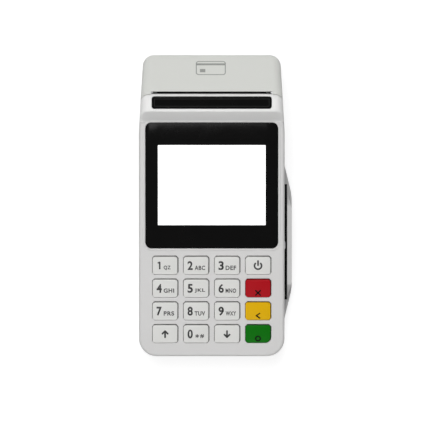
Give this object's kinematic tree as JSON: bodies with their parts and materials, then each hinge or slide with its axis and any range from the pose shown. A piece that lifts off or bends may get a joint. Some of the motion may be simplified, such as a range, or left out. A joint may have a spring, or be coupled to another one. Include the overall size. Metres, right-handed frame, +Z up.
{
  "type": "mobile payment terminal",
  "caption": "Hand-held payment terminal with a colour display, keypad, hinged-cover receipt printer, chip card slot and side swipe slot.",
  "frame": {"origin": "middle of the base face, on the body's mid-plane, half-way along the body", "axes": "+X to the right as seen by the user, +Y from the keypad end to the printer end, +Z up; the terminal lies on its back on its feet"},
  "size_m": [0.0819, 0.1614, 0.0515],
  "materials": {
    "case_plastic": "fine satin texture",
    "lower_plastic": "fine satin texture",
    "cover_plastic": "fine satin texture",
    "door_plastic": "fine satin texture",
    "black_window": "polished, black printed border",
    "screen": "lit white screen",
    "led": "clear diffused",
    "key_grey": "satin",
    "key_red": "satin",
    "key_yellow": "satin",
    "key_green": "satin",
    "silicone": "matt silicone",
    "rubber": "matt",
    "steel": "bright",
    "brass": "gold plated",
    "board": "solder mask",
    "inner_plastic": "plain",
    "gear_plastic": "natural acetal",
    "paper": "thermal paper",
    "card": "plain",
    "battery": "wrapped cells",
    "alu": "plain"
  },
  "bodies": {
    "terminal": {"top_housing": "case_plastic", "bottom_housing": "lower_plastic", "cover_hinge_pin": "steel", "rubber_feet": "rubber", "case_screws": "steel", "display_window": "black_window", "lcd_module": "screen", "indicator_window": "black_window", "indicator_leds": "led", "indicator_board": "board", "keypad_mat": "silicone", "key_domes": "steel", "main_board": "board", "backup_cell": "steel", "chip_card_reader": "inner_plastic", "chip_contacts": "brass", "swipe_head": "steel", "head_spring": "steel", "battery_pack": "battery", "battery_contacts": "brass", "charging_port": "steel", "port_tongue": "inner_plastic", "printer_frame": "steel", "feed_motor": "steel", "print_head": "alu", "head_springs": "steel", "tear_bar": "steel", "paper_tray": "inner_plastic"},
    "cover": {"printer_cover": "cover_plastic", "platen_bushes": "gear_plastic"},
    "platen": {"platen_shaft": "steel", "platen_rubber": "rubber", "platen_gear": "gear_plastic"},
    "idler": {"idler_gear": "gear_plastic"},
    "pinion": {"motor_pinion": "brass", "motor_shaft": "steel"},
    "roll": {"paper_roll": "paper", "paper_core": "card"},
    "door": {"battery_door": "door_plastic"},
    "key_1": {"key_1": "key_grey"},
    "key_2": {"key_2": "key_grey"},
    "key_3": {"key_3": "key_grey"},
    "key_power": {"key_power": "key_grey"},
    "key_4": {"key_4": "key_grey"},
    "key_5": {"key_5": "key_grey"},
    "key_6": {"key_6": "key_grey"},
    "key_cancel": {"key_cancel": "key_red"},
    "key_7": {"key_7": "key_grey"},
    "key_8": {"key_8": "key_grey"},
    "key_9": {"key_9": "key_grey"},
    "key_clear": {"key_clear": "key_yellow"},
    "key_up": {"key_up": "key_grey"},
    "key_0": {"key_0": "key_grey"},
    "key_down": {"key_down": "key_grey"},
    "key_enter": {"key_enter": "key_green"}
  },
  "joints": [
    {"name": "cover_hinge", "type": "hinge", "parent": "terminal", "child": "cover", "pos_m": [0, 0.07835, 0.012], "axis": [-1, 0, 0], "range_deg": [0, 95]},
    {"name": "platen_spin", "type": "hinge", "parent": "cover", "child": "platen", "pos_m": [0, 0.06355, 0.0402], "axis": [1, 0, 0], "continuous": true},
    {"name": "battery_door_slide", "type": "slide", "parent": "terminal", "child": "door", "axis": [0, -1, 0], "range_m": [0, 0.012]},
    {"name": "paper_roll_spin", "type": "hinge", "parent": "terminal", "child": "roll", "pos_m": [0, 0.05985, 0.0195], "axis": [1, 0, 0], "continuous": true},
    {"name": "idler_spin", "type": "hinge", "parent": "terminal", "child": "idler", "pos_m": [0, 0.05686, 0.0366], "axis": [1, 0, 0], "continuous": true},
    {"name": "pinion_spin", "type": "hinge", "parent": "terminal", "child": "pinion", "pos_m": [0, 0.05055, 0.0377], "axis": [1, 0, 0], "continuous": true},
    {"name": "key_1_press", "type": "slide", "parent": "terminal", "child": "key_1", "axis": [0, 0.1392, -0.9903], "range_m": [0, 0.0007], "stiffness_N_per_m": 2500, "springref_m": -0.0002},
    {"name": "key_2_press", "type": "slide", "parent": "terminal", "child": "key_2", "axis": [0, 0.1392, -0.9903], "range_m": [0, 0.0007], "stiffness_N_per_m": 2500, "springref_m": -0.0002},
    {"name": "key_3_press", "type": "slide", "parent": "terminal", "child": "key_3", "axis": [0, 0.1392, -0.9903], "range_m": [0, 0.0007], "stiffness_N_per_m": 2500, "springref_m": -0.0002},
    {"name": "key_power_press", "type": "slide", "parent": "terminal", "child": "key_power", "axis": [0, 0.1392, -0.9903], "range_m": [0, 0.0007], "stiffness_N_per_m": 2500, "springref_m": -0.0002},
    {"name": "key_4_press", "type": "slide", "parent": "terminal", "child": "key_4", "axis": [0, 0.1392, -0.9903], "range_m": [0, 0.0007], "stiffness_N_per_m": 2500, "springref_m": -0.0002},
    {"name": "key_5_press", "type": "slide", "parent": "terminal", "child": "key_5", "axis": [0, 0.1392, -0.9903], "range_m": [0, 0.0007], "stiffness_N_per_m": 2500, "springref_m": -0.0002},
    {"name": "key_6_press", "type": "slide", "parent": "terminal", "child": "key_6", "axis": [0, 0.1392, -0.9903], "range_m": [0, 0.0007], "stiffness_N_per_m": 2500, "springref_m": -0.0002},
    {"name": "key_cancel_press", "type": "slide", "parent": "terminal", "child": "key_cancel", "axis": [0, 0.1392, -0.9903], "range_m": [0, 0.0007], "stiffness_N_per_m": 2500, "springref_m": -0.0002},
    {"name": "key_7_press", "type": "slide", "parent": "terminal", "child": "key_7", "axis": [0, 0.1392, -0.9903], "range_m": [0, 0.0007], "stiffness_N_per_m": 2500, "springref_m": -0.0002},
    {"name": "key_8_press", "type": "slide", "parent": "terminal", "child": "key_8", "axis": [0, 0.1392, -0.9903], "range_m": [0, 0.0007], "stiffness_N_per_m": 2500, "springref_m": -0.0002},
    {"name": "key_9_press", "type": "slide", "parent": "terminal", "child": "key_9", "axis": [0, 0.1392, -0.9903], "range_m": [0, 0.0007], "stiffness_N_per_m": 2500, "springref_m": -0.0002},
    {"name": "key_clear_press", "type": "slide", "parent": "terminal", "child": "key_clear", "axis": [0, 0.1392, -0.9903], "range_m": [0, 0.0007], "stiffness_N_per_m": 2500, "springref_m": -0.0002},
    {"name": "key_up_press", "type": "slide", "parent": "terminal", "child": "key_up", "axis": [0, 0.1392, -0.9903], "range_m": [0, 0.0007], "stiffness_N_per_m": 2500, "springref_m": -0.0002},
    {"name": "key_0_press", "type": "slide", "parent": "terminal", "child": "key_0", "axis": [0, 0.1392, -0.9903], "range_m": [0, 0.0007], "stiffness_N_per_m": 2500, "springref_m": -0.0002},
    {"name": "key_down_press", "type": "slide", "parent": "terminal", "child": "key_down", "axis": [0, 0.1392, -0.9903], "range_m": [0, 0.0007], "stiffness_N_per_m": 2500, "springref_m": -0.0002},
    {"name": "key_enter_press", "type": "slide", "parent": "terminal", "child": "key_enter", "axis": [0, 0.1392, -0.9903], "range_m": [0, 0.0007], "stiffness_N_per_m": 2500, "springref_m": -0.0002}
  ],
  "couplings": [
    {"joint": "idler_spin", "follows": "platen_spin", "ratio": -0.72727},
    {"joint": "pinion_spin", "follows": "platen_spin", "ratio": 1.6}
  ]
}
